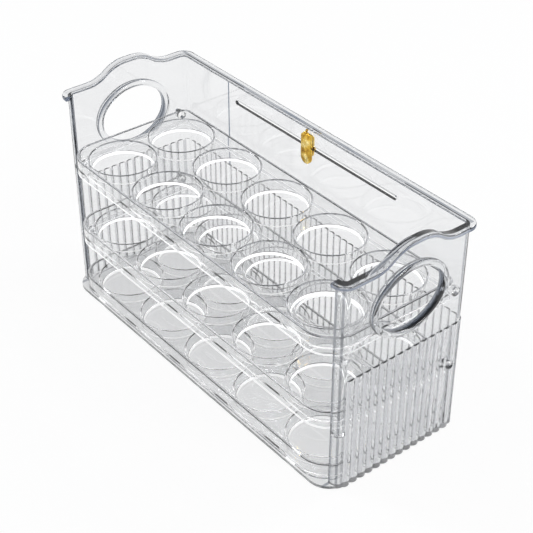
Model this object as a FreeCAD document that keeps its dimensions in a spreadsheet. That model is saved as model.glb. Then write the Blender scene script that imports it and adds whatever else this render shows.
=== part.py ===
"""Three-tier flip-up egg holder: a clear open-fronted frame, three cup trays and a sliding date marker.

Frame of the part: X runs along the holder's length, +Y points to the back wall, Z is up.
The origin is the middle of the footprint, on the surface that the holder stands on.
"""
import FreeCAD, Part
import math
import os
import Sketcher

Vector = FreeCAD.Vector
doc = FreeCAD.newDocument("egg_holder")
sheet = doc.addObject("Spreadsheet::Sheet", "sizes")

LENGTHS = {
    # outer frame: end walls, back wall and floor
    "half_length": 133.5, "wall_thickness": 2.2, "back_face": 49.0, "wall_front": 45.5,
    "base_front": 52.5, "floor_thickness": 2.0, "base_corner": 15.0, "rear_corner": 5.0,
    "return_radius": 5.0, "return_width": 6.5, "cut_overrun": 20.0,
    # rolled rim, its height above the finger holes' centres, and the raised crest over each of them
    "rim_height": 31.0, "rim_thickness": 3.0, "rim_overhang": 3.5, "rim_round": 1.0,
    "crest_rise": 9.5, "crest_run": 29.0, "crest_half_flat": 3.0, "crest_place": 4.0,
    "line_place": -84.0, "line_width": 0.9, "line_depth": 0.8,
    # finger hole in each end wall, its centre's height above the flutes, and the round bead that edges it
    "handle_half_width": 28.5, "handle_half_height": 23.5, "handle_end_radius": 20.0,
    "handle_place": 4.0, "handle_height": 35.0, "bead_width": 4.2, "bead_depth": 5.6, "bead_round": 1.5,
    # half-round flutes outside the lower walls
    "flute_height": 79.0, "flute_depth": 1.3, "flute_pitch": 5.8, "flute_gap": 0.4, "flute_root": 0.5,
    # date slot in the back wall, and its height above the finger holes' centres
    "slot_half_length": 75.5, "slot_height": 17.5, "slot_width": 3.0,
    # trays
    "tray_half_length": 128.6, "tray_front": 51.5, "tray_rear": 44.6, "tray_depth": 12.0, "tray_lip": 1.8,
    "tray_front_corner": 18.0, "tray_rear_corner": 6.0, "plate_underside": 3.4, "plate_thickness": 1.6,
    "bottom_tray_depth": 11.0, "top_tray_level": 93.5, "middle_tray_level": 41.2, "edge_break": 0.35,
    "bottom_tray_underside": 1.0, "foot_height": 0.25, "foot_length": 8.0,
    # egg cups
    "cup_pitch_along": 50.0, "cup_pitch_across": 46.4, "cup_place": -3.4, "cup_height": 8.6,
    "cup_hole_radius": 19.8, "cup_mouth_radius": 21.5, "cup_wall": 1.2,
    # tray pivots and the lugs that the raised trays come down on
    "pivot_place": 40.2, "pivot_rise": 8.2, "pin_radius": 3.0, "pin_clearance": 0.06, "pin_inset": 0.3,
    "lug_reach": 5.3, "lug_width": 6.0, "lug_height": 3.0, "lug_clearance": 0.2, "lug_place": 41.0,
    # date marker
    "marker_place": -2.9, "marker_width": 9.0, "marker_top": 9.5, "marker_bottom": 11.9,
    "marker_thickness": 2.0, "marker_slant": 2.2, "marker_round": 0.4, "marker_clearance": 0.15,
    "stem_width": 5.0, "clip_width": 7.0, "clip_height": 14.0, "clip_thickness": 1.2,
    "rivet_radius": 1.5, "rivet_rise": 0.4, "rivet_drop": 7.0, "knob_radius": 0.9, "knob_height": 2.6,
}
COUNTS = {"cup_columns": 5, "cup_rows": 2, "tray_hinges": 2}
# shares of the quarter turn at which flutes stand on each rear corner
CORNER_SHARES = (0.5,)


class Size:
    """A length that carries both its value and the sheet expression that drives it."""

    def __init__(self, text, value):
        self.text, self.value = text, value

    def join(self, sign, other):
        right = other if isinstance(other, Size) else Size(str(other), other)
        pairs = {"+": self.value + right.value, "-": self.value - right.value, "*": self.value * right.value}
        value = pairs[sign] if sign in pairs else self.value / right.value
        return Size("(%s %s %s)" % (self.text, sign, right.text), value)

    def __add__(self, other):
        return self.join("+", other)

    def __sub__(self, other):
        return self.join("-", other)

    def __mul__(self, other):
        return self.join("*", other)

    def __truediv__(self, other):
        return self.join("/", other)

    def __neg__(self):
        return Size("(-1 * %s)" % self.text, -self.value)


named = {}
for line, (name, value) in enumerate(list(LENGTHS.items()) + list(COUNTS.items()), start=1):
    sheet.set("A%d" % line, name)
    sheet.set("B%d" % line, str(value))
    sheet.setAlias("B%d" % line, name)
doc.recompute()
for name in list(LENGTHS) + list(COUNTS):
    named[name] = Size("sizes.%s" % name, float(sheet.get(name)))
zero = Size("0", 0.0)
NEAR = 1e-4


def plane_of(body, role):
    return next(item for item in body.Origin.OriginFeatures if item.Role == role)


def new_body(name):
    return doc.addObject("PartDesign::Body", name)


def new_sketch(body, name, role, offset=zero):
    sketch = body.newObject("Sketcher::SketchObject", name)
    sketch.AttachmentSupport = [(plane_of(body, role), "")]
    sketch.MapMode = "FlatFace"
    sketch.setExpression("AttachmentOffset.Base.z", offset.text)
    return sketch


def hold(sketch, kind, element, corner, size):
    index = sketch.addConstraint(Sketcher.Constraint(kind, element, corner, size.value))
    sketch.setExpression("Constraints[%d]" % index, size.text)


def outline(sketch, corners):
    """Closed loop. A corner is (x, y), or (x, y, centre_x, centre_y, turn) where an arc leaves it."""
    pieces = []
    for here, there in zip(corners, corners[1:] + corners[:1]):
        start, end = Vector(here[0].value, here[1].value, 0), Vector(there[0].value, there[1].value, 0)
        if len(here) == 2:
            pieces.append((sketch.addGeometry(Part.LineSegment(start, end)), 1, 2))
            continue
        centre = Vector(here[2].value, here[3].value, 0)
        ends = (start, end) if here[4] > 0 else (end, start)
        angles = [math.atan2((spot - centre).y, (spot - centre).x) for spot in ends]
        if angles[1] <= angles[0]:
            angles[1] += 2 * math.pi
        circle = Part.Circle(centre, Vector(0, 0, 1), (start - centre).Length)
        arc = sketch.addGeometry(Part.ArcOfCircle(circle, angles[0], angles[1]))
        pieces.append((arc,) + ((1, 2) if here[4] > 0 else (2, 1)))
        chord = end - start
        upright = abs(chord.y) > abs(chord.x)
        hold(sketch, "DistanceX" if upright else "DistanceY", arc, 3, here[2] if upright else here[3])
    for index, corner in enumerate(corners):
        element, head, _ = pieces[index]
        before, _, tail = pieces[index - 1]
        sketch.addConstraint(Sketcher.Constraint("Coincident", before, tail, element, head))
        hold(sketch, "DistanceX", element, head, corner[0])
        hold(sketch, "DistanceY", element, head, corner[1])


def circle(sketch, x, y, radius):
    element = sketch.addGeometry(Part.Circle(Vector(x.value, y.value, 0), Vector(0, 0, 1), radius.value))
    hold(sketch, "DistanceX", element, 3, x)
    hold(sketch, "DistanceY", element, 3, y)
    index = sketch.addConstraint(Sketcher.Constraint("Radius", element, radius.value))
    sketch.setExpression("Constraints[%d]" % index, radius.text)


def rectangle(sketch, left, right, low, high):
    outline(sketch, [(left, low), (right, low), (right, high), (left, high)])


def feature(body, kind, name, **settings):
    item = body.newObject("PartDesign::" + kind, name)
    for key, value in settings.items():
        setattr(item, key, value)
    body.Tip = item
    return item


def pad(body, sketch, length, **settings):
    item = feature(body, "Pad", sketch.Name + "_pad", Profile=sketch, **settings)
    item.setExpression("Length", length.text)
    doc.recompute()
    return item


def pocket(body, sketch, length, **settings):
    item = feature(body, "Pocket", sketch.Name + "_cut", Profile=sketch, **settings)
    item.setExpression("Length", length.text)
    doc.recompute()
    return item


def cut_through(body, sketch):
    item = feature(body, "Pocket", sketch.Name + "_cut", Profile=sketch, SideType="Symmetric")
    item.Type = "ThroughAll"
    doc.recompute()
    return item


def row(body, originals, axis, length, count):
    item = feature(body, "LinearPattern", originals[0].Name + "_row", Originals=originals)
    item.Direction = (plane_of(body, axis), [""])
    item.setExpression("Length", length.text)
    item.setExpression("Occurrences", count)
    doc.recompute()
    return item


def rounded(body, name, edges, size, kind="Fillet", setting="Radius"):
    """Fillet or chamfer on the edges of the body's tip that the test picks out by their place."""
    doc.recompute()
    base = body.Tip
    picked = ["Edge%d" % (index + 1) for index, edge in enumerate(base.Shape.Edges) if edges(edge)]
    item = feature(body, kind, name, Base=(base, picked))
    item.setExpression(setting, size.text)
    doc.recompute()
    return item


def level_edge(edge, levels, axis):
    """True where the edge lies in one of the level planes across the axis."""
    box = edge.BoundBox
    low, high = ((box.XMin, box.XMax), (box.YMin, box.YMax), (box.ZMin, box.ZMax))[axis]
    return any(abs(low - level.value) + abs(high - level.value) < NEAR for level in levels)


def mirrored(body, originals, role):
    item = feature(body, "Mirrored", originals[0].Name + "_pair", Originals=originals)
    item.MirrorPlane = (plane_of(body, role), [""])
    doc.recompute()
    return item


# Sizes that several pieces share.
half_length, wall = named["half_length"], named["wall_thickness"]
back, front = named["back_face"], -named["wall_front"]
inner_half, inner_back = half_length - wall, back - wall
overrun = named["cut_overrun"]
hole_z = named["flute_height"] + named["handle_height"]
rim_z = hole_z + named["rim_height"]
crest_top = rim_z + named["crest_rise"]
pin_radius = named["pin_radius"]


# Outer frame.
# One clear moulding: a floor, a back wall and two end walls whose front edges curl inward. The rim rolls
# outward all round and rises over each finger hole. Half-round flutes stiffen the lower walls.
def wall_plan(sketch, grow):
    """U-shaped plan of the walls, its outer side set out by grow."""
    curl, rear, tip = named["return_radius"], named["rear_corner"], half_length - named["return_width"]
    side, rear_in = half_length + grow, back - rear
    curl_x, curl_y, rear_x = half_length - curl, front + curl, half_length - rear
    outline(sketch, [
        (tip, front - grow), (curl_x, front - grow, curl_x, curl_y, 1), (side, curl_y),
        (side, rear_in, rear_x, rear_in, 1), (rear_x, back + grow),
        (-rear_x, back + grow, -rear_x, rear_in, 1), (-side, rear_in),
        (-side, curl_y, -curl_x, curl_y, 1), (-curl_x, front - grow), (-tip, front - grow),
        (-tip, front + wall), (-curl_x, front + wall, -curl_x, curl_y, -1), (-inner_half, curl_y),
        (-inner_half, rear_in, -rear_x, rear_in, -1), (-rear_x, inner_back),
        (rear_x, inner_back, rear_x, rear_in, -1), (inner_half, rear_in),
        (inner_half, curl_y, curl_x, curl_y, -1), (curl_x, front + wall), (tip, front + wall)])


def rim_line(sketch, drop, limit):
    """Region between the waved rim line, lowered by drop, and a level line at limit."""
    low, high = rim_z - drop, crest_top - drop
    rise, run, flat = named["crest_rise"], named["crest_run"], named["crest_half_flat"]
    bend = (run * run + rise * rise) / (rise * 4)
    place, middle = named["crest_place"], low + rise / 2
    first, last = front - overrun, back + overrun
    half = flat + run / 2
    wave = [
        (first, low), (place - flat - run, low, place - flat - run, low + bend, 1),
        (place - half, middle, place - flat, high - bend, -1), (place - flat, high),
        (place + flat, high, place + flat, high - bend, -1),
        (place + half, middle, place + flat + run, low + bend, 1), (place + flat + run, low), (last, low)]
    outline(sketch, wave + [(last, limit), (first, limit)])


def oval(sketch, inset):
    """Finger hole: four tangent arcs, drawn in from the bead's outer edge by inset."""
    wide, tall = named["handle_half_width"] - inset, named["handle_half_height"] - inset
    small = named["handle_end_radius"] - inset
    large = (wide * wide + tall * tall - wide * small * 2) / ((tall - small) * 2)
    reach, sink = wide - small, large - tall
    ratio = small / (large - small)
    joint_x, joint_y = reach + reach * ratio, sink * ratio
    x, y = named["handle_place"], hole_z
    outline(sketch, [
        (x + joint_x, y - joint_y, x + reach, y, 1), (x + joint_x, y + joint_y, x, y - sink, 1),
        (x - joint_x, y + joint_y, x - reach, y, 1), (x - joint_x, y - joint_y, x, y + sink, 1)])


shell = new_body("frame_shell")
floor_plan = new_sketch(shell, "floor_plan", "XY_Plane")
base_front, base_corner, rear_corner = -named["base_front"], named["base_corner"], named["rear_corner"]
corner_x, corner_y = half_length - base_corner, base_front + base_corner
heel_x, heel_y = half_length - rear_corner, back - rear_corner
outline(floor_plan, [
    (-corner_x, base_front), (corner_x, base_front, corner_x, corner_y, 1), (half_length, corner_y),
    (half_length, heel_y, heel_x, heel_y, 1), (heel_x, back),
    (-heel_x, back, -heel_x, heel_y, 1), (-half_length, heel_y),
    (-half_length, corner_y, -corner_x, corner_y, 1)])
pad(shell, floor_plan, named["floor_thickness"])
walls = new_sketch(shell, "walls", "XY_Plane")
wall_plan(walls, zero)
pad(shell, walls, crest_top)
rim_cut = new_sketch(shell, "rim_cut", "YZ_Plane")
rim_line(rim_cut, zero, crest_top + overrun)
cut_through(shell, rim_cut)

# Flutes: one half-round on each end wall, repeated along Y, and one on the back wall, repeated along X.
pitch, flute_depth = named["flute_pitch"], named["flute_depth"]
chord = (pitch - named["flute_gap"]) / 2
flute_radius = (chord * chord + flute_depth * flute_depth) / (flute_depth * 2)
flute_sink = flute_radius - flute_depth
root = named["flute_root"]
side_start, side_end = front + named["return_radius"] + chord, back - rear_corner - chord
side_flutes = new_sketch(shell, "side_flutes", "XY_Plane")
for way in (1, -1):
    face = half_length * way
    deep, middle = face - root * way, face - flute_sink * way
    outline(side_flutes, [
        (deep, side_start - chord), (face, side_start - chord, middle, side_start, way),
        (face, side_start + chord), (deep, side_start + chord)])
side_pad = pad(shell, side_flutes, named["flute_height"])
row(shell, [side_pad], "Y_Axis", side_end - side_start,
    "floor(%s / sizes.flute_pitch) + 1" % (side_end - side_start).text)
back_start = -(half_length - rear_corner - chord)
back_flutes = new_sketch(shell, "back_flutes", "XY_Plane")
outline(back_flutes, [
    (back_start + chord, back - root), (back_start + chord, back, back_start, back - flute_sink, 1),
    (back_start - chord, back), (back_start - chord, back - root)])
back_pad = pad(shell, back_flutes, named["flute_height"])
row(shell, [back_pad], "X_Axis", -back_start * 2,
    "floor(%s / sizes.flute_pitch) + 1" % (-back_start * 2).text)

corner_flutes = new_sketch(shell, "corner_flutes", "XY_Plane")
corner_face = rear_corner - chord * chord / (rear_corner * 2)
for way in (1, -1):
    for turn_share in CORNER_SHARES:
        across, along = math.cos(turn_share * math.pi / 2), math.sin(turn_share * math.pi / 2)

        def spot(out, aside):
            return ((heel_x + out * across - aside * along) * way, heel_y + out * along + aside * across)

        outline(corner_flutes, [
            spot(corner_face - root, -chord),
            spot(corner_face, -chord) + spot(corner_face - flute_sink, zero) + (way,),
            spot(corner_face, chord), spot(corner_face - root, chord)])
pad(shell, corner_flutes, named["flute_height"])

# Lugs inside the front edges, which carry the fronts of the two hinged trays when they are down.
lugs = new_sketch(shell, "lugs", "XY_Plane",
                  named["middle_tray_level"] - named["lug_clearance"] - named["lug_height"])
lug_end, lug_low = inner_half - named["lug_reach"], -named["lug_place"] - named["lug_width"] / 2
lug_high = lug_low + named["lug_width"]
rectangle(lugs, lug_end, half_length - wall / 2, lug_low, lug_high)
rectangle(lugs, -(half_length - wall / 2), -lug_end, lug_low, lug_high)
lug_pad = pad(shell, lugs, named["lug_height"])
row(shell, [lug_pad], "Z_Axis", named["top_tray_level"] - named["middle_tray_level"], "sizes.tray_hinges")

# Finger holes with their beads.
bead = new_sketch(shell, "bead", "YZ_Plane", half_length - wall / 2)
oval(bead, zero)
bead_pad = pad(shell, bead, named["bead_depth"], SideType="Symmetric")
mirrored(shell, [bead_pad], "YZ_Plane")
finger_hole = new_sketch(shell, "finger_hole", "YZ_Plane")
oval(finger_hole, named["bead_width"])
cut_through(shell, finger_hole)
bead_middle, bead_half = half_length - wall / 2, named["bead_depth"] / 2
bead_faces = [(bead_middle + bead_half * side) * way for side in (1, -1) for way in (1, -1)]
rounded(shell, "bead_rounds", lambda edge: level_edge(edge, bead_faces, 0), named["bead_round"])

# Pivot holes for the two hinged trays, and the date slot in the back wall.
pivots = new_sketch(shell, "pivots", "YZ_Plane")
for level in (named["top_tray_level"], named["middle_tray_level"]):
    circle(pivots, named["pivot_place"], level + named["pivot_rise"], pin_radius + named["pin_clearance"])
cut_through(shell, pivots)
slot = new_sketch(shell, "slot", "XZ_Plane", -(back - wall / 2))
slot_z, slot_half = hole_z + named["slot_height"], named["slot_width"] / 2
slot_end = named["slot_half_length"]
slot_x = slot_end - slot_half
outline(slot, [
    (-slot_x, slot_z - slot_half), (slot_x, slot_z - slot_half, slot_x, slot_z, 1),
    (slot_x, slot_z + slot_half), (-slot_x, slot_z + slot_half, -slot_x, slot_z, 1)])
pocket(shell, slot, wall * 2, SideType="Symmetric")
line = new_sketch(shell, "wall_line", "XY_Plane", named["flute_height"])
line_x, line_half = named["line_place"], named["line_width"] / 2
outline(line, [(line_x - line_half, back), (line_x, back - named["line_depth"]), (line_x + line_half, back)])
pocket(shell, line, rim_z - named["rim_thickness"] - named["flute_height"], Reversed=True)

rim = new_body("frame_rim")
rim_plan = new_sketch(rim, "rim_plan", "XY_Plane")
wall_plan(rim_plan, named["rim_overhang"])
pad(rim, rim_plan, crest_top)
rim_top = new_sketch(rim, "rim_top", "YZ_Plane")
rim_line(rim_top, zero, crest_top + overrun)
cut_through(rim, rim_top)
rim_under = new_sketch(rim, "rim_under", "YZ_Plane")
rim_line(rim_under, named["rim_thickness"], -overrun)
cut_through(rim, rim_under)


def outer_rim(edge):
    """True on the rim's outer upper and lower edges, but not on the upright seams between them."""
    upright = edge.BoundBox.XLength + edge.BoundBox.YLength < NEAR
    return not upright and edge.distToShape(shell.Shape)[0] > named["rim_overhang"].value / 2


rounded(rim, "rim_rounds", outer_rim, named["rim_round"])

frame = doc.addObject("Part::Fuse", "outer_frame")
frame.Base, frame.Tool = shell, rim
frame.Refine = True
doc.recompute()


# Trays.
# Three clear pans of ten open cups each. A cup is a conical ring that stands on the pan's plate and lets the
# egg's end hang through. The upper two turn on pins at their rear ends; the lowest one lies on the floor.
def tray_plan(sketch, inset):
    side = named["tray_half_length"] - inset
    near, far = -named["tray_front"] + inset, named["tray_rear"] - inset
    bow, heel = named["tray_front_corner"] - inset, named["tray_rear_corner"] - inset
    bow_x, bow_y, heel_x, heel_y = side - bow, near + bow, side - heel, far - heel
    outline(sketch, [
        (-bow_x, near), (bow_x, near, bow_x, bow_y, 1), (side, bow_y),
        (side, heel_y, heel_x, heel_y, 1), (heel_x, far),
        (-heel_x, far, -heel_x, heel_y, 1), (-side, heel_y), (-side, bow_y, -bow_x, bow_y, 1)])


def revolved(body, kind, name, corners, axis_x, offset):
    sketch = new_sketch(body, name, "XZ_Plane", offset)
    outline(sketch, corners)
    low, high = corners[0][1], corners[-1][1]
    axis = sketch.addGeometry(
        Part.LineSegment(Vector(axis_x.value, low.value, 0), Vector(axis_x.value, high.value, 0)), True)
    for corner, level in ((1, low), (2, high)):
        hold(sketch, "DistanceX", axis, corner, axis_x)
        hold(sketch, "DistanceY", axis, corner, level)
    item = feature(body, kind, name + "_turn", Profile=sketch, Angle=360)
    item.ReferenceAxis = (sketch, ["Axis0"])
    doc.recompute()
    return item


def make_tray(name, level, depth, underside):
    lip, plate = named["tray_lip"], named["plate_thickness"]
    body = new_body(name)
    pan = new_sketch(body, name + "_pan", "XY_Plane")
    tray_plan(pan, zero)
    pad(body, pan, depth)
    well = new_sketch(body, name + "_well", "XY_Plane", depth)
    tray_plan(well, lip)
    pocket(body, well, depth - underside - plate)
    skirt = new_sketch(body, name + "_skirt", "XY_Plane")
    tray_plan(skirt, lip)
    pocket(body, skirt, underside, Reversed=True)
    x = -named["cup_pitch_along"] * (named["cup_columns"] - 1) / 2
    y = named["cup_place"] - named["cup_pitch_across"] * (named["cup_rows"] - 1) / 2
    hole, mouth, skin = named["cup_hole_radius"], named["cup_mouth_radius"], named["cup_wall"]
    rise = named["cup_height"]
    slope = (mouth - hole) / rise
    top = underside + rise
    ring = revolved(body, "Revolution", name + "_cup", [
        (x, underside), (x + hole + skin, underside), (x + mouth + skin, top), (x, top)], x, -y)
    bore = revolved(body, "Groove", name + "_bore", [
        (x, underside - plate), (x + hole - slope * plate, underside - plate),
        (x + mouth + slope * plate, top + plate), (x, top + plate)], x, -y)
    grid = feature(body, "LinearPattern", name + "_cups", Originals=[ring, bore])
    grid.Direction = (plane_of(body, "X_Axis"), [""])
    grid.setExpression("Length", "sizes.cup_pitch_along * (sizes.cup_columns - 1)")
    grid.setExpression("Occurrences", "sizes.cup_columns")
    grid.Direction2 = (plane_of(body, "Y_Axis"), [""])
    grid.setExpression("Length2", "sizes.cup_pitch_across * (sizes.cup_rows - 1)")
    grid.setExpression("Occurrences2", "sizes.cup_rows")
    rounded(body, name + "_edges", lambda edge: level_edge(edge, [depth, top], 2), named["edge_break"],
            "Chamfer", "Size")
    body.setExpression("Placement.Base.z", level.text)
    doc.recompute()
    return body


def add_pins(body):
    end = named["tray_half_length"] - named["tray_lip"]
    pin = new_sketch(body, body.Name + "_pin", "YZ_Plane", end)
    circle(pin, named["pivot_place"], named["pivot_rise"], pin_radius)
    stub = pad(body, pin, half_length - named["pin_inset"] - end)
    mirrored(body, [stub], "YZ_Plane")


top_tray = make_tray("top_tray", named["top_tray_level"], named["tray_depth"], named["plate_underside"])
add_pins(top_tray)
middle_tray = make_tray("middle_tray", named["middle_tray_level"], named["tray_depth"],
                        named["plate_underside"])
add_pins(middle_tray)
bottom_tray = make_tray("bottom_tray", named["floor_thickness"] + named["foot_height"],
                        named["bottom_tray_depth"], named["bottom_tray_underside"])
# Four low feet under its lip keep the lowest pan just off the floor, so that it doesn't cling when wet.
feet = new_sketch(bottom_tray, "feet", "XY_Plane")
foot_x = named["cup_pitch_along"] * (named["cup_columns"] - 1) / 2
near_lip, far_lip, lip = -named["tray_front"], named["tray_rear"], named["tray_lip"]
for way in (1, -1):
    inner_end, outer_end = foot_x * way - named["foot_length"] / 2, foot_x * way + named["foot_length"] / 2
    rectangle(feet, inner_end, outer_end, near_lip, near_lip + lip)
    rectangle(feet, inner_end, outer_end, far_lip - lip, far_lip)
pad(bottom_tray, feet, named["foot_height"], Reversed=True)

# Date marker.
# A small metal tag that rides in the slot: a front plate with a rounded foot, a stem through the slot, a clip
# behind the wall, a rivet on the foot and a knob on top.
gap, thick, tag_x = named["marker_clearance"], named["marker_thickness"], named["marker_place"]
plate_back, half_tag, slant = inner_back - gap, named["marker_width"] / 2, named["marker_slant"]
foot, head = slot_z - named["marker_bottom"], slot_z + named["marker_top"]
plate = new_body("marker_plate")
tag = new_sketch(plate, "tag", "XZ_Plane", -plate_back)
tag_left, tag_right, bow_z = tag_x - half_tag, tag_x + half_tag, foot + half_tag
outline(tag, [(tag_left, head - slant), (tag_left, bow_z, tag_x, bow_z, 1),
              (tag_right, bow_z), (tag_right, head), (tag_left + slant, head)])
pad(plate, tag, thick)
rounded(plate, "tag_rounds", lambda edge: level_edge(edge, [plate_back - thick], 1), named["marker_round"])

stem = new_body("marker_stem")
shank = new_sketch(stem, "shank", "XZ_Plane", -plate_back)
half_stem = named["stem_width"] / 2
rectangle(shank, tag_x - half_stem, tag_x + half_stem, slot_z - slot_half + gap, slot_z + slot_half - gap)
pad(stem, shank, wall + gap * 2, Reversed=True)

clip = new_body("marker_clip")
leaf = new_sketch(clip, "leaf", "XZ_Plane", -(back + gap))
half_clip, half_leaf = named["clip_width"] / 2, named["clip_height"] / 2
rectangle(leaf, tag_x - half_clip, tag_x + half_clip, slot_z - half_leaf, slot_z + half_leaf)
pad(clip, leaf, named["clip_thickness"], Reversed=True)
rounded(clip, "leaf_rounds", lambda edge: level_edge(edge, [back + gap + named["clip_thickness"]], 1),
        named["marker_round"])

rivet = new_body("marker_rivet")
boss = new_sketch(rivet, "boss", "XZ_Plane", -(plate_back - thick))
circle(boss, tag_x, slot_z - named["rivet_drop"], named["rivet_radius"])
pad(rivet, boss, named["rivet_rise"])

knob = new_body("marker_knob")
peg = new_sketch(knob, "peg", "XY_Plane", head)
circle(peg, tag_x, plate_back - thick / 2, named["knob_radius"])
pad(knob, peg, named["knob_height"])
peg_top = head + named["knob_height"]
rounded(knob, "peg_rounds", lambda edge: level_edge(edge, [peg_top], 2), named["marker_round"])

doc.recompute()
for item in doc.Objects:
    if "Invalid" in item.State or "Error" in item.State:
        raise RuntimeError("%s did not build: %s" % (item.Name, item.State))
    if item.TypeId in ("PartDesign::Pocket", "PartDesign::Groove"):
        if item.Shape.Volume >= item.BaseFeature.Shape.Volume:
            raise RuntimeError("%s cuts nothing" % item.Name)
parts = [frame, top_tray, middle_tray, bottom_tray, plate, stem, clip, rivet, knob]
for item in parts:
    item.Label = item.Name
    if item.Shape.isNull() or not item.Shape.isValid() or len(item.Shape.Solids) != 1:
        raise RuntimeError("%s is not one sound solid" % item.Name)
os.makedirs("parts", exist_ok=True)
for item in parts:
    item.Shape.exportStep("parts/%s.step" % item.Label)
    print(item.Label, len(item.Shape.Faces), round(item.Shape.Volume), item.Shape.BoundBox)
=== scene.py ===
import math

import bmesh
import bpy
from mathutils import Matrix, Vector


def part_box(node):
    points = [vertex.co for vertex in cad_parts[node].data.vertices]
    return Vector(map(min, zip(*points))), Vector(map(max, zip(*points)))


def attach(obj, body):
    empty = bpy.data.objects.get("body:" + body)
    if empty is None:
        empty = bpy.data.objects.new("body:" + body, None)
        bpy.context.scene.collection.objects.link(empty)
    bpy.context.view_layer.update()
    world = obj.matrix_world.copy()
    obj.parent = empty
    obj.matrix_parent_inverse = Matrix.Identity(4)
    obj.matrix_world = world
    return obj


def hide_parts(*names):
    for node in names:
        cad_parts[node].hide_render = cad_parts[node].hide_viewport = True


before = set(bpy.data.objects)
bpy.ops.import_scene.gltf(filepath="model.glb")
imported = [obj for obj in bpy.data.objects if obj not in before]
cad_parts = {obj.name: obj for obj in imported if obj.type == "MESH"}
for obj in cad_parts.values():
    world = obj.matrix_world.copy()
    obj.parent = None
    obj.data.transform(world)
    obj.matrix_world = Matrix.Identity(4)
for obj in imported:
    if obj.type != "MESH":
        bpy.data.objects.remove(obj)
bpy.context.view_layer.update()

scene = bpy.context.scene

# Outer frame.
# One injection moulding in water-clear plastic: floor, back wall, end walls, rolled rim and flutes. The
# polished tool leaves the faces glossy, with a faint flow wave and a trace of haze that greys each wall.


class Shade:
    """One output in a material's node tree. Arithmetic on it adds Math nodes to the same tree."""

    def __init__(self, tree, socket=None):
        self.tree, self.socket = tree, socket

    def node(self, kind, inputs, out=0, **settings):
        """Adds a node, sets it up, then fills its sockets with values or links."""
        made = self.tree.nodes.new("ShaderNode" + kind)
        for stop, (place, colour) in enumerate(settings.pop("stops", ())):
            ramp = made.color_ramp.elements
            element = ramp[stop] if stop < 2 else ramp.new(place)
            element.position, element.color = place, colour
        for key, value in settings.items():
            setattr(made, key, value)
        for key, value in inputs.items():
            if isinstance(value, Shade):
                value.into(made, key)
            else:
                made.inputs[key].default_value = value
        return Shade(self.tree, made.outputs[out])

    def into(self, node, key):
        """Links this output to a socket of a node."""
        self.tree.links.new(self.socket, node.inputs[key])

    def math(self, operation, *values, clamp=False):
        return self.node("Math", dict(enumerate(values)), operation=operation, use_clamp=clamp)

    def split(self, vector):
        """The X, Y and Z parts of a vector."""
        return [self.node("SeparateXYZ", {0: vector}, out=axis) for axis in "XYZ"]

    def fade(self, value, start, end, first, last):
        """A smooth step from first, at start, to last, at end."""
        return self.node("MapRange", {
            "Value": value, "From Min": start, "From Max": end, "To Min": first, "To Max": last},
            interpolation_type="SMOOTHSTEP")

    def largest(self, *masks):
        """The largest of several masks."""
        most = masks[0]
        for mask in masks[1:]:
            most = self.math("MAXIMUM", most, mask)
        return most

    def __abs__(self):
        return self.math("ABSOLUTE", self)

    def __pow__(self, other):
        return self.math("POWER", self, other)

    def __add__(self, other):
        return self.math("ADD", self, other)

    def __sub__(self, other):
        return self.math("SUBTRACT", self, other)

    def __rsub__(self, other):
        return self.math("SUBTRACT", other, self)

    def __mul__(self, other):
        return self.math("MULTIPLY", self, other)

    def __truediv__(self, other):
        return self.math("DIVIDE", self, other)

    def __lt__(self, other):
        return self.math("LESS_THAN", self, other)

    def __gt__(self, other):
        return self.math("GREATER_THAN", self, other)


def new_material(name):
    """An empty material, its tree as a Shade and its output node."""
    material = bpy.data.materials.new(name)
    material.use_nodes = True
    material.node_tree.nodes.clear()
    return material, Shade(material.node_tree), material.node_tree.nodes.new("ShaderNodeOutputMaterial")


def clear_plastic(tree, place, painted_shade, thin_tone, deep_tone, scuffed=0.0):
    """Polished clear plastic. Where the painted-shade mask is 1 it is slate: painted shade on edge lines."""
    flow = tree.node("TexNoise", {"Vector": place, "Scale": 55.0, "Detail": 2.0, "Roughness": 0.4})
    haze = tree.node("TexNoise", {"Vector": place, "Scale": 900.0, "Detail": 3.0})
    wave = tree.node("Bump", {"Height": flow, "Strength": 0.002, "Distance": 0.003})
    # Slate is the colour of the painted shade.
    slate = (0.04, 0.06, 0.10, 1)
    sheet = tree.node("Mix", {0: flow, 6: deep_tone, 7: thin_tone}, out=2, data_type="RGBA")
    tint = tree.node("Mix", {0: painted_shade, 6: sheet, 7: slate}, out=2, data_type="RGBA")
    polish, haze_share = 0.005, 0.02
    return tree.node("BsdfPrincipled", {
        "Base Color": tint, "Roughness": haze * haze_share + polish + scuffed, "Normal": wave,
        "Transmission Weight": 0.975, "IOR": 1.49})


def smoke(tree, density):
    """The slight grey of the plastic itself, which deepens to slate where light runs along a sheet."""
    return tree.node("VolumeAbsorption", {"Color": (0.0, 0.08, 0.2, 1), "Density": density}, out="Volume")


frame_plastic, tree, output = new_material("frame_plastic")
place = tree.node("TexCoord", {}, out="Object")
x, y, z = tree.split(place)
out_x, out_y, out_z = [abs(part) for part in tree.split(tree.node("TexCoord", {}, out="Normal"))]
side = abs(x)

# The rim: how far a point lies below its waved top and outside the walls.
RIM_TOP, RIM_DEPTH, RIM_EASE = 0.145, 0.003, 0.0006
WALL_FACE, WALL_DEPTH, BACK_FACE, FRONT_FACE = 0.1335, 0.0022, 0.0490, -0.0457
HOLE_PLACE, CREST_RISE, CREST_FLAT, CREST_END = 0.004, 0.0095, 0.003, 0.032
from_hole = abs(y - HOLE_PLACE)
below_top = tree.fade(from_hole, CREST_FLAT, CREST_END, CREST_RISE, 0.0) + RIM_TOP - z
beyond = tree.largest(side - WALL_FACE, y - BACK_FACE, FRONT_FACE - y)
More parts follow.
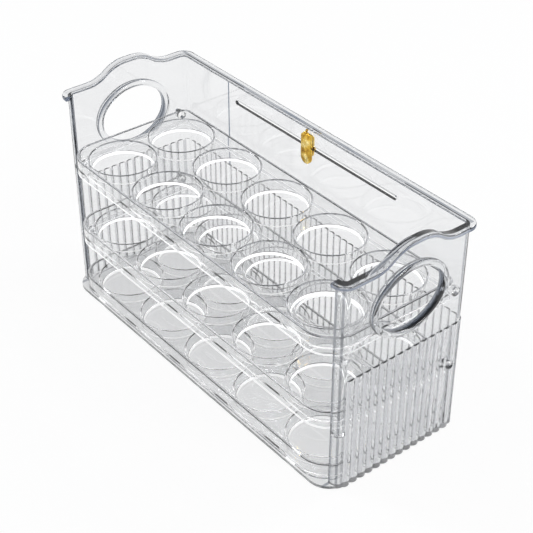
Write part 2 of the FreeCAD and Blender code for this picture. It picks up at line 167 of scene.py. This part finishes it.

# Painted shade darkens its crown over the walls in patches, most on the back wall, and its outer roll.
CROWN_DEPTH, CROWN_LEVEL, CROWN_SHARE, CROWN_BACK, CROWN_FADE = 0.0009, 0.3, 0.3, 0.65, 0.3
ROLL_START, ROLL_POWER = 0.0002, 1.5
drift = tree.node("TexNoise", {"Vector": place, "Scale": 22.0, "Detail": 1.0})
painted_crown_shade = (beyond < 0.0) * (below_top < CROWN_DEPTH) * (out_z > CROWN_LEVEL)
painted_crown_shade = painted_crown_shade * tree.math("ADD", drift, CROWN_FADE, clamp=True)
painted_crown_shade = painted_crown_shade * ((y > BACK_FACE - WALL_DEPTH) * CROWN_BACK + CROWN_SHARE)
roll_shade_and_scuff = (beyond > ROLL_START) * (below_top < RIM_DEPTH + RIM_EASE) * (1.0 - out_z) ** ROLL_POWER

# Painted shade darkens the bead round each finger hole where it turns into the hole.
HOLE_REACH, HOLE_LOW, HOLE_HIGH, BORE_START, BORE_END = 0.030, 0.089, 0.1393, 0.25, 0.7
painted_bead_shade = (from_hole < HOLE_REACH) * (z > HOLE_LOW) * (z < HOLE_HIGH)
painted_bead_shade = painted_bead_shade * tree.fade(out_x, BORE_START, BORE_END, 1.0, 0.0)

# Painted shade on upright lines: front strips' edges and curls, the back wall's line, the right rear corner.
FLUTE_TOP, SLACK = 0.0785, 0.0003
TIP_PLACE, TIP_HALF, CURL_PLACE, CURL_TURN = 0.1272, 0.0005, -0.041, 0.57
LINE_PLACE, LINE_HALF, LINE_FACE, HEEL_PLACE, HEEL_TURN = -0.084, 0.0006, 0.0478, 0.042, 0.45
painted_tip_shade = (abs(side - TIP_PLACE) < TIP_HALF) * (y < FRONT_FACE + WALL_DEPTH + SLACK)
painted_curl_shade = (out_x > CURL_TURN) * (out_y > CURL_TURN) * (y < CURL_PLACE)
painted_line_shade = (abs(x - LINE_PLACE) < LINE_HALF) * (y > LINE_FACE) * (z > FLUTE_TOP) * (below_top > RIM_DEPTH)
painted_heel_shade = (out_x > HEEL_TURN) * (out_y > HEEL_TURN) * (y > HEEL_PLACE) * (x > 0.0) * (z > FLUTE_TOP)

# Painted shade darkens the valleys between the end walls' flutes, and the floor slightly.
VALLEY_DEPTH, FLOOR_DEPTH, UNDERSIDE = 0.0003, 0.002, 0.0002
painted_valley_shade = (abs(side - WALL_FACE) < VALLEY_DEPTH) * (z < FLUTE_TOP)
painted_frame_floor_shade = z < FLOOR_DEPTH + SLACK

# Slate strength of each painted-shade mark; then roughness on the roll and underside, and the roll's slate
# layer.
ROLL_PAINTED_SHADE, BEAD_PAINTED_SHADE, CORNER_PAINTED_SHADE, LINE_PAINTED_SHADE, GROUND_PAINTED_SHADE = 0.6, 0.9, 0.8, 0.5, 0.05
ROLL_SCUFF, UNDERSIDE_SCUFF, ROLL_SHADE_MIX = 0.25, 0.4, 0.45
painted_shade = tree.largest(
    roll_shade_and_scuff * ROLL_PAINTED_SHADE, painted_crown_shade, painted_bead_shade * BEAD_PAINTED_SHADE, painted_line_shade, painted_frame_floor_shade * GROUND_PAINTED_SHADE, painted_heel_shade * CORNER_PAINTED_SHADE,
    painted_tip_shade * CORNER_PAINTED_SHADE, painted_curl_shade * LINE_PAINTED_SHADE, painted_valley_shade * LINE_PAINTED_SHADE)
scuffed = (z < UNDERSIDE) * UNDERSIDE_SCUFF + roll_shade_and_scuff * ROLL_SCUFF
clear = clear_plastic(
    tree, place, painted_shade, thin_tone=(0.925, 0.929, 0.934, 1), deep_tone=(0.908, 0.912, 0.918, 1),
    scuffed=scuffed)
# A slate diffuse layer mixed into the outer roll: painted shade for its dark line.
painted_roll_shade_layer = tree.node("BsdfPrincipled", {"Base Color": (0.27, 0.32, 0.43, 1), "Roughness": 0.3})
tree.node("MixShader", {0: roll_shade_and_scuff * ROLL_SHADE_MIX, 1: clear, 2: painted_roll_shade_layer}).into(output, "Surface")
smoke(tree, density=6.0).into(output, "Volume")
outer_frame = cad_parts["outer_frame"]
outer_frame.data.materials.clear()
outer_frame.data.materials.append(frame_plastic)

# Egg trays.
# Three pans of the same clear plastic, each with ten open conical cups. The edge at the bottom of every cup
# is where the tool halves meet, so it is left matt white and glows faintly as a white ring, painted light for
# the highlight it catches; so are the lowest edge of the pan and the bottom tray's feet. The top of each
# pan's lip has painted shade, a slate tint, strongest on the top tray.
CUP_PITCH, CUP_ROWS, CUP_MIDDLE, CUP_RISE = 0.050, 0.0464, -0.0034, 0.0086
HOLE_RADIUS, RING_WIDTH, RING_RISE, LIP_BREAK, FOOT_HEIGHT = 0.0198, 0.0004, 0.0018, 0.00045, 0.0002


def tray_plastic(name, base, underside, lip_shade_share):
    """Clear plastic; matt white with a painted glow at the cups' lower edges and the pan's lowest edge or
    feet.
    """
    level = base + underside
    material, tree, output = new_material(name + "_plastic")
    place = tree.node("TexCoord", {}, out="Object")
    x, y, z = tree.split(place)
    along = x - tree.math("ROUND", x / CUP_PITCH) * CUP_PITCH
    across = abs(y - CUP_MIDDLE) - CUP_ROWS / 2
    radius = tree.math("SQRT", along * along + across * across)
    # Matt white rings at the cups' lower edges and the pan's lowest edge; they also glow as painted light.
    matt_and_glow_ring = (radius < HOLE_RADIUS + RING_WIDTH) * (z < level + RING_RISE)
    matt = tree.largest(matt_and_glow_ring, z < base + FOOT_HEIGHT)
    # A slate tint along the top of the lip: painted shade.
    painted_lip_shade = z > level + CUP_RISE - LIP_BREAK
    grain = tree.node("TexNoise", {"Vector": place, "Scale": 2500.0, "Detail": 2.0})
    grain_share, smoothest, matt_and_glow_share = 0.2, 0.45, 0.9
    # The faint glow of the matt white edge is painted light for the highlight it catches.
    edge = tree.node("BsdfPrincipled", {
        "Base Color": (0.98, 0.98, 0.98, 1), "Roughness": grain * grain_share + smoothest,
        "Emission Color": (1, 1, 1, 1), "Emission Strength": 0.6})
    clear = clear_plastic(
        tree, place, painted_lip_shade * lip_shade_share, thin_tone=(0.985, 0.986, 0.988, 1), deep_tone=(0.970, 0.972, 0.975, 1))
    tree.node("MixShader", {0: matt * matt_and_glow_share, 1: clear, 2: edge}).into(output, "Surface")
    smoke(tree, density=1.5).into(output, "Volume")
    return material


# The last number is each tray's share of painted shade on its lip.
for name, underside, lip_shade_share in (
        ("top_tray", 0.0034, 0.6), ("middle_tray", 0.0034, 0.35), ("bottom_tray", 0.00125, 0.15)):
    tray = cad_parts[name]
    tray.data.materials.clear()
    tray.data.materials.append(tray_plastic(name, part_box(name)[0].z, underside, lip_shade_share))

# Date marker.
# A gold-plated brass tag that slides in the slot: a stamped front plate with a rounded foot and one clipped
# corner, a block through the wall, a spring leaf behind it, a domed rivet on the foot and a ball on top.
gold, tree, output = new_material("gold_plate")
place = tree.node("TexCoord", {}, out="Object")
streak = tree.node("Mapping", {"Vector": place, "Scale": (1.0, 1.0, 0.15)})
brushed = tree.node("TexNoise", {"Vector": streak, "Scale": 2400.0, "Detail": 3.0})
cloud = tree.node("TexNoise", {"Vector": place, "Scale": 240.0, "Detail": 1.0})
tone = tree.node("ValToRGB", {0: cloud}, stops=[
    (0.30, (0.50, 0.27, 0.035, 1)), (0.72, (0.98, 0.80, 0.34, 1)), (0.48, (0.80, 0.52, 0.08, 1))])
BRUSH_RELIEF, BRUSH_SHARE, BRIGHTEST = 0.3, 0.12, 0.12
bump = tree.node("Bump", {"Height": cloud + brushed * BRUSH_RELIEF, "Strength": 0.2, "Distance": 0.0005})
tree.node("BsdfPrincipled", {
    "Base Color": tone, "Metallic": 1.0, "Roughness": brushed * BRUSH_SHARE + BRIGHTEST,
    "Normal": bump}).into(output, "Surface")
MERGE, SMOOTH_BELOW, SHARP_ABOVE = 1e-6, math.radians(40), math.radians(50)
PLATE_SLANT, PLATE_ROLL, BLOCK_ROLL, LEAF_CORNER = 0.0022, 0.00035, 0.0003, 0.0018


def marker_piece(name, shape, node):
    """Puts a finished shape in the scene in place of its CAD node."""
    bmesh.ops.remove_doubles(shape, verts=shape.verts, dist=MERGE)
    bmesh.ops.recalc_face_normals(shape, faces=shape.faces)
    mesh = bpy.data.meshes.new(name)
    shape.to_mesh(mesh)
    shape.free()
    mesh.materials.append(gold)
    mesh.shade_smooth()
    mesh.set_sharp_from_angle(angle=SMOOTH_BELOW)
    piece = bpy.data.objects.new(name, mesh)
    scene.collection.objects.link(piece)
    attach(piece, "marker")
    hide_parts(node)


def roll_edges(shape, edges, width, segments):
    """Rounds these edges."""
    bmesh.ops.bevel(
        shape, geom=edges, offset=width, affect="EDGES", segments=segments, profile=0.5, material=-1)


def soften(shape, width):
    """Rolls every sharp edge of a stamped or turned shape."""
    solid = [edge for edge in shape.edges if edge.is_manifold]
    roll_edges(shape, [edge for edge in solid if edge.calc_face_angle() > SHARP_ABOVE], width, segments=3)


def block(span):
    """A block of this span about the origin."""
    shape = bmesh.new()
    bmesh.ops.create_cube(shape, size=1.0)
    bmesh.ops.scale(shape, vec=span, verts=shape.verts)
    return shape


def verts_of(made):
    """The new vertices in what an operator returns."""
    return [item for item in made["geom"] if isinstance(item, bmesh.types.BMVert)]


low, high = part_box("marker_plate")
middle, half = (low.x + high.x) / 2, (high.x - low.x) / 2
foot = Vector((middle, low.y, low.z + half))
shape = bmesh.new()
ends = [shape.verts.new(foot), shape.verts.new(foot + Vector((half, 0, 0)))]
shape.edges.new(ends)
bmesh.ops.spin(
    shape, geom=shape.verts[:] + shape.edges[:], cent=foot, axis=(0, 1, 0), angle=math.pi, steps=16)
bmesh.ops.remove_doubles(shape, verts=shape.verts, dist=MERGE)
flat = [edge for edge in shape.edges if all(abs(v.co.z - foot.z) < MERGE for v in edge.verts)]
for vert in verts_of(bmesh.ops.extrude_edge_only(shape, edges=flat)):
    clipped = vert.co.x < middle - half / 2
    vert.co.z = high.z - PLATE_SLANT if clipped else high.z
    if abs(vert.co.x - middle) < half / 2:
        vert.co.x = middle - half + PLATE_SLANT
deep = verts_of(bmesh.ops.extrude_face_region(shape, geom=shape.faces[:]))
bmesh.ops.translate(shape, vec=(0, high.y - low.y, 0), verts=deep)
bmesh.ops.remove_doubles(shape, verts=shape.verts, dist=MERGE)
bmesh.ops.recalc_face_normals(shape, faces=shape.faces)
soften(shape, PLATE_ROLL)
marker_piece("tag_plate", shape, "marker_plate")

low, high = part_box("marker_stem")
shape = block(high - low)
soften(shape, BLOCK_ROLL)
bmesh.ops.translate(shape, vec=(low + high) / 2, verts=shape.verts)
marker_piece("tag_block", shape, "marker_stem")

low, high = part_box("marker_clip")
shape = block(high - low)
through = [e for e in shape.edges if abs((e.verts[0].co - e.verts[1].co).y) > (high - low).y / 2]
roll_edges(shape, through, LEAF_CORNER, segments=6)
soften(shape, BLOCK_ROLL)
bmesh.ops.translate(shape, vec=(low + high) / 2, verts=shape.verts)
marker_piece("tag_leaf", shape, "marker_clip")

low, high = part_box("marker_rivet")
wide, tall = high.x - low.x, high.y - low.y
shape = bmesh.new()
bmesh.ops.create_uvsphere(shape, u_segments=28, v_segments=14, radius=wide / 2)
bmesh.ops.scale(shape, vec=(1.0, tall * 2 / wide, 1.0), verts=shape.verts)
bmesh.ops.translate(
    shape, vec=((low.x + high.x) / 2, high.y, (low.z + high.z) / 2), verts=shape.verts)
marker_piece("tag_rivet", shape, "marker_rivet")

low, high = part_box("marker_knob")
ball, rise = (high.x - low.x) / 2, high.z - low.z
axis = Vector(((low.x + high.x) / 2, (low.y + high.y) / 2, 0))
turned_shares = (
    (0.0, -0.1), (0.62, -0.1), (0.62, 0.12), (0.5, 0.25), (0.62, 0.4), (0.9, 0.52), (1.0, 0.66), (0.9, 0.82),
    (0.6, 0.95), (0.0, 1.0))
shape = bmesh.new()
outline = [
    shape.verts.new(axis + Vector((ball * wide, 0, low.z + rise * tall))) for wide, tall in turned_shares]
for lower, upper in zip(outline, outline[1:]):
    shape.edges.new((lower, upper))
bmesh.ops.spin(
    shape, geom=shape.verts[:] + shape.edges[:], cent=axis, axis=(0, 0, 1), angle=2 * math.pi, steps=24,
    use_merge=True)
marker_piece("tag_ball", shape, "marker_knob")

# Floor and studio.
# A pale seamless sheet under the holder, a white room whose ceiling falls off to slate, and three soft lamps.
FLOOR_HALF, FLOOR_DROP, WHITE_SHARE = 5.0, -0.0004, 0.93
sheet = bmesh.new()
bmesh.ops.create_grid(sheet, x_segments=1, y_segments=1, size=FLOOR_HALF)
bmesh.ops.translate(sheet, vec=(0, 0, FLOOR_DROP), verts=sheet.verts)
floor_mesh = bpy.data.meshes.new("floor")
sheet.to_mesh(floor_mesh)
sheet.free()
floor = bpy.data.objects.new("floor", floor_mesh)
scene.collection.objects.link(floor)
paper, tree, output = new_material("floor_paper")
rays = [tree.node("LightPath", {}, out="Is %s Ray" % kind) for kind in ("Camera", "Glossy", "Transmission")]
matt = tree.node("BsdfDiffuse", {"Color": (0.96, 0.96, 0.96, 1)})
white = tree.node("Emission", {"Color": (1, 1, 1, 1), "Strength": 1.0})
tree.node("MixShader", {0: tree.largest(*rays) * WHITE_SHARE, 1: matt, 2: white}).into(output, "Surface")
floor_mesh.materials.append(paper)

world = bpy.data.worlds.new("studio")
scene.world = world
world.use_nodes = True
world.node_tree.nodes.clear()
room = Shade(world.node_tree)
height = room.split(room.node("TexCoord", {}, out="Generated"))[2]
ceiling = room.node("ValToRGB", {0: height}, stops=[(0.38, (1, 1, 1, 1)), (0.72, (0.15, 0.165, 0.19, 1))])
sky = room.node("Background", {"Color": ceiling, "Strength": 1.0})
sky.into(world.node_tree.nodes.new("ShaderNodeOutputWorld"), "Surface")

for name, spot, size, power in (
        ("lamp_left", (-0.9, -0.5, 1.1), 0.35, 7.0), ("lamp_back", (0.3, 1.1, 1.0), 0.4, 6.0),
        ("lamp_right", (1.1, 0.3, 0.9), 0.35, 5.0)):
    lamp = bpy.data.lights.new(name, "AREA")
    lamp.size, lamp.energy = size, power
    holder = bpy.data.objects.new(name, lamp)
    scene.collection.objects.link(holder)
    holder.matrix_world = Vector(spot).to_track_quat("Z", "Y").to_matrix().to_4x4()
    holder.location = spot
    holder.visible_transmission = False

# Camera.
# Three-quarter view from the right and above, as in the photograph.
EYE, AZIMUTH, ELEVATION = (0.52292, -0.41022, 0.53657), 51.10, 35.48
SENSOR, LENS, FARTHEST, BOUNCES = 36.0, 88.19, 30.0, 40
lens = bpy.data.cameras.new("camera")
lens.sensor_width, lens.lens, lens.clip_end = SENSOR, LENS, FARTHEST
camera = bpy.data.objects.new("camera", lens)
scene.collection.objects.link(camera)
camera.location = EYE
camera.rotation_euler = (math.radians(90 - ELEVATION), 0, math.radians(AZIMUTH))
scene.camera = camera
scene.view_settings.view_transform = "Standard"
scene.cycles.max_bounces = BOUNCES
scene.cycles.transmission_bounces = BOUNCES
scene.cycles.transparent_max_bounces = BOUNCES
